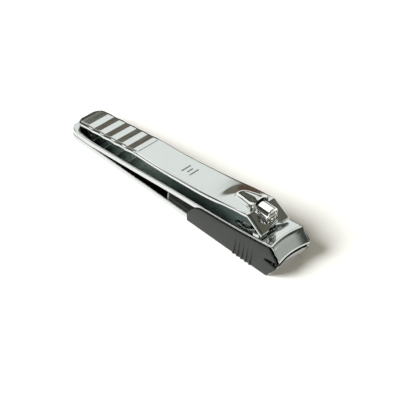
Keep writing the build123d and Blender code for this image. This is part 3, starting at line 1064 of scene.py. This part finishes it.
def daylight(azimuth, elevation, spread, strength):
    """Broad soft light from one side, unseen in mirror rays."""
    light = bpy.data.lights.new("key", "SUN")
    light.angle = radians(spread)
    light.energy = strength
    piece = new_object("key", light)
    a, e = radians(azimuth), radians(elevation)
    way = Vector((cos(e) * cos(a), cos(e) * sin(a), sin(e)))
    piece.location = CENTRE + way
    piece.rotation_euler = way.to_track_quat("Z", "Y").to_euler()
    piece.visible_glossy = False


# Half the table's side, and where its glow in mirror rays fades out ahead of the jaws, in millimetres.
FLOOR_HALF = 2500
GLOW_END_X = (9.0, 24.0)


def floor():
    """Pale matt table, a little brighter in mirror rays except in the shadow ahead of the jaws."""
    bm = bmesh.new()
    corners = ((-1, -1), (1, -1), (1, 1), (-1, 1))
    bm.faces.new([bm.verts.new((FLOOR_HALF * x, FLOOR_HALF * y, 0)) for x, y in corners])
    table = finish_mesh("table", bm)
    table.location.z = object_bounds()[0].z - 0.02 * MM
    material, g = material_graph("pale_table")
    position = g.node("ShaderNodeNewGeometry").outputs["Position"]
    colour = g.mix(g.noise(position, 40.0, 3.0), rgba(0.86, 0.86, 0.85), rgba(0.88, 0.88, 0.87))
    matt = g.node("ShaderNodeBsdfPrincipled", {"Base Color": colour, "Roughness": 0.9,
                                              "Specular IOR Level": 0.1})
    glow = g.node("ShaderNodeEmission", {"Color": rgba(0.99, 1.0, 1.02), "Strength": 1.75})
    forward = g.step(g.split(position)[0], *(x * MM for x in GLOW_END_X))
    share = g.mix(forward, rgba(0.25, 0.25, 0.25), rgba(0.02, 0.02, 0.02))
    mirrored = g.product(g.node("ShaderNodeLightPath").outputs["Is Glossy Ray"], share)
    g.surface(g.node("ShaderNodeMixShader", {0: mirrored, 1: matt.outputs[0], 2: glow.outputs[0]}))
    table.data.materials.append(material)


def camera():
    """Long lens from above the near side, slightly rolled."""
    azimuth, elevation, roll = radians(-53.395), radians(40.3), radians(9.09)
    distance = 0.4484
    target = Vector((-21.05, -3.47, 6.0)) * MM
    back = Vector((cos(elevation) * cos(azimuth), cos(elevation) * sin(azimuth), sin(elevation)))
    level = (-back).to_track_quat("-Z", "Y").to_matrix()
    right = level.col[0] * cos(roll) + level.col[1] * sin(roll)
    up = level.col[1] * cos(roll) - level.col[0] * sin(roll)
    lens = bpy.data.cameras.new("camera")
    lens.lens = 144
    lens.sensor_width = 36
    lens.clip_start = 0.01
    piece = new_object("camera", lens)
    place = Matrix((right, up, back)).transposed().to_4x4()
    place.translation = target + back * distance
    piece.matrix_world = place
    SCENE.camera = piece


# ---------------------------------------------------------------- assembly

def place(piece, body, slot, material, *replaced):
    """Dresses a piece, lets it ride on its body and lets it stand for its CAD nodes."""
    piece.data.materials.clear()
    piece.data.materials.append(material)
    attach(piece, body)
    if replaced:
        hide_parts(*replaced)
    return piece


def dress_node(node, material, width):
    """Keeps a CAD node, with a new finish and softened edges."""
    piece = frame["nodes"][node]
    weld = piece.modifiers.new("weld", "WELD")
    weld.merge_threshold = 0.001 * MM
    bevelled(piece, width, 35)
    piece.data.materials.clear()
    piece.data.materials.append(material)


CENTRE = (cad_bounds[0] + cad_bounds[1]) / 2
STEEL = chrome("chromed_arms", (0.64, 0.66, 0.65), 0.07, detail=ground_jaw)
LEVER_STEEL = chrome("chromed_lever", (0.66, 0.68, 0.67), 0.08, detail=lever_faces)
POST_STEEL = chrome("polished_post", (0.92, 0.92, 0.91), 0.05, peened=True)
GREY = plastic("grey_moulding", (0.0203, 0.0227, 0.0213), 0.5)
# The black moulding carries the painted highlight on the tray's rear rim.
BLACK = plastic("black_moulding", (0.018, 0.019, 0.018), 0.42, rim_highlight=True)
MARK = filled_mark()

place(lever_stamping(), "lever", "chromed_lever", LEVER_STEEL, "lever")
place(lever_bar(), "lever", "chromed_lever", LEVER_STEEL)
for bar_index, bar_length in enumerate(MARK_LENGTHS):
    bar_x = MARK_X + (bar_index - 1) * MARK_PITCH
    place(mark_bar(f"mark_bar_{bar_index + 1}", bar_x, bar_length), "lever", "chromed_lever", MARK)
place(upper_arm(), "upper_arm", "chromed_steel", STEEL, "upper_arm")
place(lower_arm(), "lower_arm", "chromed_steel", STEEL, "lower_arm")
place(post_pin(), "post", "polished_post", POST_STEEL, "post")
place(cheek("catcher_cheek_far", 1), "catcher", "grey_plastic", GREY, "catcher_cheek_left")
place(cheek("catcher_cheek_near", -1), "catcher", "grey_plastic", GREY, "catcher_cheek_right")
dress_node("catcher_tray", BLACK, width=0.12)
dress_node("tail_rivet", STEEL, width=0.05)

room_world()
floor()
daylight(azimuth=-114, elevation=35, spread=32, strength=5.6)
camera()
SCENE.view_settings.view_transform = "Standard"
